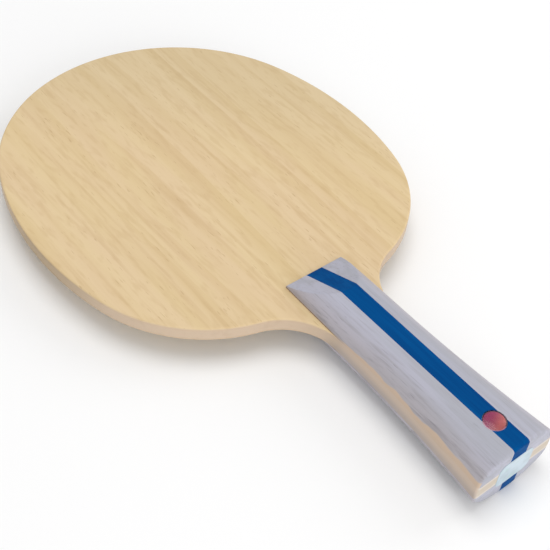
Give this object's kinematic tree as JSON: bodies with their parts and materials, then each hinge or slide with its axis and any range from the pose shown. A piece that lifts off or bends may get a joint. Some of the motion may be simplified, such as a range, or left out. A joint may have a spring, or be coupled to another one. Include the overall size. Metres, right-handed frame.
{
  "type": "table tennis blade",
  "caption": "Bare wooden table tennis paddle blade with a plywood head and a flared, stripe-inlaid handle carrying a round lens badge.",
  "frame": {"origin": "centre of the bounding box: mid-thickness of the blade, on its long centre line", "axes": "+Y along the handle towards the tip of the head, +Z out of the front face with the badge, +X across the head"},
  "size_m": [0.15, 0.256, 0.0234],
  "materials": {
    "face_veneer": "fine sanded, unvarnished",
    "medial_veneer": "sanded edge",
    "core_wood": "sanded edge",
    "grey_stained_wood": "stained, satin",
    "blue_stained_wood": "stained, satin",
    "badge_foil": "printed foil",
    "clear_resin": "clear, polished",
    "label_film": "pearl film"
  },
  "bodies": {
    "root": {"face_ply_front": "face_veneer", "medial_ply_front": "medial_veneer", "core_ply": "core_wood", "medial_ply_back": "medial_veneer", "face_ply_back": "face_veneer", "front_scale_left": "grey_stained_wood", "front_stripe": "blue_stained_wood", "front_scale_right": "grey_stained_wood", "back_scale_left": "grey_stained_wood", "back_stripe": "blue_stained_wood", "back_scale_right": "grey_stained_wood", "badge_foil": "badge_foil", "badge_dome": "clear_resin", "butt_label": "label_film"}
  },
  "joints": []
}
